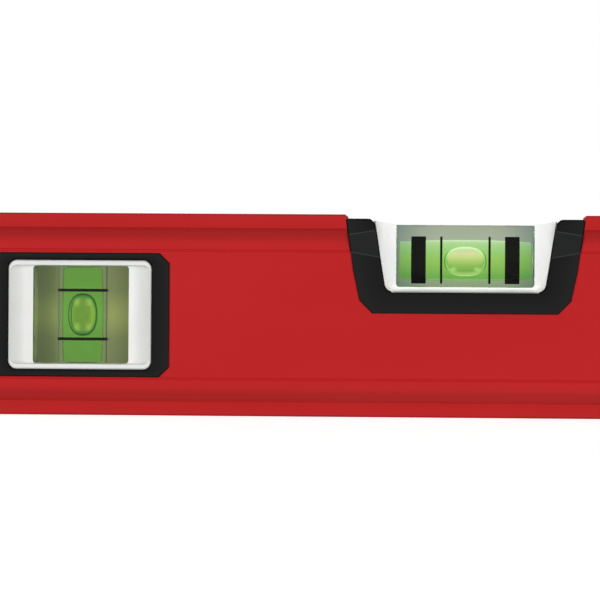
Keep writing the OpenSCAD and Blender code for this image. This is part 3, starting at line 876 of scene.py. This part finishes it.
def bubble(node, axis, material):
    """Long bubble with full, rounded ends, on a body of its own."""
    centre, half, radius = axial(node, axis)
    power = 2 / BUBBLE_FULLNESS
    profile = []
    for i in range(BUBBLE_STEPS + 1):
        turn = math.pi * i / BUBBLE_STEPS
        along = abs(math.cos(turn)) ** power * math.copysign(1, -math.cos(turn))
        swell = math.sin(turn) ** power if 0 < i < BUBBLE_STEPS else 0
        profile.append((radius * swell, half * along))
    piece(node, lathe(profile, centre, axis), material, body=node)


def end_bumper(node, side):
    """Rubber pad with rounded edges over the end of the beam, and a shallow dish in its face."""
    low, high = span(node)
    half_y, half_z = (high.y - low.y) / 2, (high.z - low.z) / 2
    inner, outer = sorted((abs(low.x), abs(high.x)))
    key_y, key_z, key_depth = BUMPER_KEY
    dish_slope, dish_depth = DISH

    def ring(x, half_w, half_h, radius):
        return [(side * x, y, middle_z + z) for y, z in corner_loop(half_w, half_h, radius)]

    def outline(x, inset, radius):
        return ring(x, half_y - inset, half_z - inset, radius)

    rings = [ring(x, key_y, key_z, SMALL_R) for x in (inner + key_depth, inner)]
    rings.append(outline(inner, BUMPER_BACK, BUMPER_R - BUMPER_BACK))
    rings.append(outline(inner + BUMPER_BACK, 0, BUMPER_R))
    rings += [outline(outer - drop, inset, BUMPER_R) for inset, drop in quarter(BUMPER_EDGE, 5)]
    rings.append(outline(outer, BUMPER_RIM, DISH_R))
    rings.append(outline(outer - dish_depth, BUMPER_RIM + dish_slope, DISH_R))
    piece(node, skin(rings), black_rubber)


# ---- the level ----

red, black = red_paint(), black_plastic()
# one white plastic in two copies: the cradle's lighter white is painted light, the liners' darker white
# painted shade
lit_cradle_white = white_plastic("cradle_white_plastic", 0.92)
shaded_liner_white = white_plastic("liner_white_plastic", 0.77)
black_rubber, black_ink, plug_grey = rubber(), ink(), plug_plastic()

centre_clear = acrylic("centre_acrylic", centre_block_painted_shade, 1.2, coat=0.3)
tube_clear = acrylic("tube_acrylic", centre_tube_tint, 1.02)
plumb_clear = acrylic("plumb_acrylic", plumb_block_painted_light, 1.49, coat=0.3)
plumb_tube_clear = acrylic("plumb_tube_acrylic", plumb_tube_painted_shade, 1.03)
# one liquid in two copies: the plumb copy's dimmer glow is painted shade
centre_liquid, plumb_liquid = centre_green(), plumb_green()
centre_bubble_air, plumb_bubble_air = centre_air(), plumb_air()

piece("beam", cad_copy("beam", 0.12), red)
for word, direction in (("front", FRONT), ("rear", REAR)):
    centre_bezel(f"centre_{word}_bezel", direction)
    for side in SIDES:
        plumb_bezel(f"{side}_{word}_bezel", direction)
        plumb_liner(f"{side}_{word}_liner", direction)
centre_cradle("centre_cradle")
vial_block("centre_vial_block", centre_clear)
vial_tube("centre_vial_tube", "X", tube_clear, CENTRE_END)
vial_plug("centre_vial_plug", "X", plug_grey)
vial_liquid("centre_vial_fluid", "X", centre_liquid, CENTRE_AIR)
ring_marks("centre_level_lines", "X")
ring_marks("centre_slope_bands", "X")
bubble("centre_bubble", "X", centre_bubble_air)
for side, direction in SIDES.items():
    vial_block(f"{side}_vial_block", plumb_clear)
    vial_tube(f"{side}_vial_tube", "Z", plumb_tube_clear, PLUMB_END)
    vial_plug(f"{side}_vial_plug", "Z", plug_grey)
    vial_liquid(f"{side}_vial_fluid", "Z", plumb_liquid)
    ring_marks(f"{side}_level_lines", "Z")
    bubble(f"{side}_bubble", "Z", plumb_bubble_air)
    piece(f"{side}_end_plug", cad_copy(f"{side}_end_plug", 0.25), black)
    end_bumper(f"{side}_end_bumper", direction)


# ---- floor, light and camera ----

AMBIENT = 0.25                   # even light that falls on surfaces
BEHIND_GLASS = 0.5               # the same surroundings as they show through glass
FLOOR_R = 6.0                    # radius of the floor, in metres
LIGHT_PLACE = (1.6, 3, 0.15)     # a side light: metres aside, in front or behind, and up
LIGHT_SIZE = (1.4, 0.3)          # its width and height
KEY_POWER, FILL_POWER = 53, 49   # watts, on the left and on the right
TOP_HEIGHT, TOP_SIZE, TOP_POWER = 1.6, 1.2, 2.5  # the light above the level
CAMERA_DISTANCE = 0.89           # from the front face, in metres
CAMERA_HEIGHT = 0.0285           # above the level's bottom face
CAMERA_ROLL = 0.39               # degrees
AIM_X, AIM_Z = -0.0407, 0.0288   # where the camera looks, between the two vials of the picture
VIEW_WIDTH = 0.1481              # width of the picture at the front face


def surroundings(tree):
    """Even light from all round: white where it is seen, and dimmer on surfaces and through glass."""
    rays = add_node(tree, "ShaderNodeLightPath")
    inside = mix(tree, rays.outputs["Is Transmission Ray"], (AMBIENT,) * 3, (BEHIND_GLASS,) * 3)
    return mix(tree, rays.outputs["Is Camera Ray"], inside, (1, 1, 1))


def make_floor():
    """Round pale floor, just under the level."""
    bm = bmesh.new()
    bmesh.ops.create_circle(bm, cap_ends=True, segments=64, radius=FLOOR_R)
    mesh = bpy.data.meshes.new("floor")
    bm.to_mesh(mesh)
    bm.free()
    floor = bpy.data.objects.new("floor", mesh)
    floor.location.z = cad_bounds[0][2] - SLIVER * MM
    bpy.context.scene.collection.objects.link(floor)
    made, tree, shader = new_material("pale_floor", {
        "Roughness": 0.7, "Specular IOR Level": 0.1, "Emission Strength": 0.78})
    shade = ramp(tree, noise(tree, 180, 3), [(0.3, (0.58, 0.58, 0.58)), (0.7, (0.6, 0.6, 0.6))])
    tree.links.new(shade, shader.inputs["Base Color"])
    shader.inputs["Emission Color"].default_value = (1, 1, 1, 1)
    glow = add_node(tree, "ShaderNodeEmission", {"Color": surroundings(tree)})
    rays = add_node(tree, "ShaderNodeLightPath")
    both = add_node(tree, "ShaderNodeMixShader", {"Fac": rays.outputs["Is Camera Ray"]})
    tree.links.new(glow.outputs["Emission"], both.inputs[1])
    tree.links.new(shader.outputs["BSDF"], both.inputs[2])
    tree.links.new(both.outputs["Shader"], tree.nodes["Material Output"].inputs["Surface"])
    mesh.materials.append(made)


def make_world():
    """Plain white studio."""
    world = bpy.data.worlds.new("studio")
    bpy.context.scene.world = world
    world.use_nodes = True
    tree = world.node_tree
    tree.links.new(surroundings(tree), tree.nodes["Background"].inputs["Color"])


def aim(obj, target, roll=0.0):
    """Points an object's -Z at the target, with Y up, then rolls it about its view."""
    turn = (target - obj.location).to_track_quat("-Z", "Y").to_matrix()
    obj.rotation_euler = (turn @ Matrix.Rotation(roll, 3, "Z")).to_euler()


def soft_light(name, place, size, power):
    """Rectangular light that is aimed at the level and isn't seen through glass."""
    data = bpy.data.lights.new(name, "AREA")
    data.shape = "RECTANGLE"
    data.size, data.size_y = size
    data.energy = power
    light = bpy.data.objects.new(name, data)
    light.location = place
    light.visible_transmission = False
    bpy.context.scene.collection.objects.link(light)
    aim(light, Vector((0, 0, middle_z * MM)))


def make_camera():
    """Square to the front face, opposite the centre vial, and aimed between the two vials."""
    target = Vector((AIM_X, cad_bounds[0][1], AIM_Z))
    data = bpy.data.cameras.new("camera")
    camera = bpy.data.objects.new("camera", data)
    camera.location = (0.0, target.y - CAMERA_DISTANCE, CAMERA_HEIGHT)
    data.lens = data.sensor_width * (target - camera.location).length / VIEW_WIDTH
    data.clip_start = 0.01
    bpy.context.scene.collection.objects.link(camera)
    aim(camera, target, math.radians(CAMERA_ROLL))
    bpy.context.scene.camera = camera


make_floor()
make_world()
aside, away, up = LIGHT_PLACE
for face in (FRONT, REAR):
    soft_light("key", (-aside, face * away, up), LIGHT_SIZE, KEY_POWER)
    soft_light("fill", (aside, face * away, up), LIGHT_SIZE, FILL_POWER)
soft_light("top", (0, 0, TOP_HEIGHT), (TOP_SIZE, TOP_SIZE), TOP_POWER)
make_camera()
bpy.context.scene.view_settings.view_transform = "Standard"
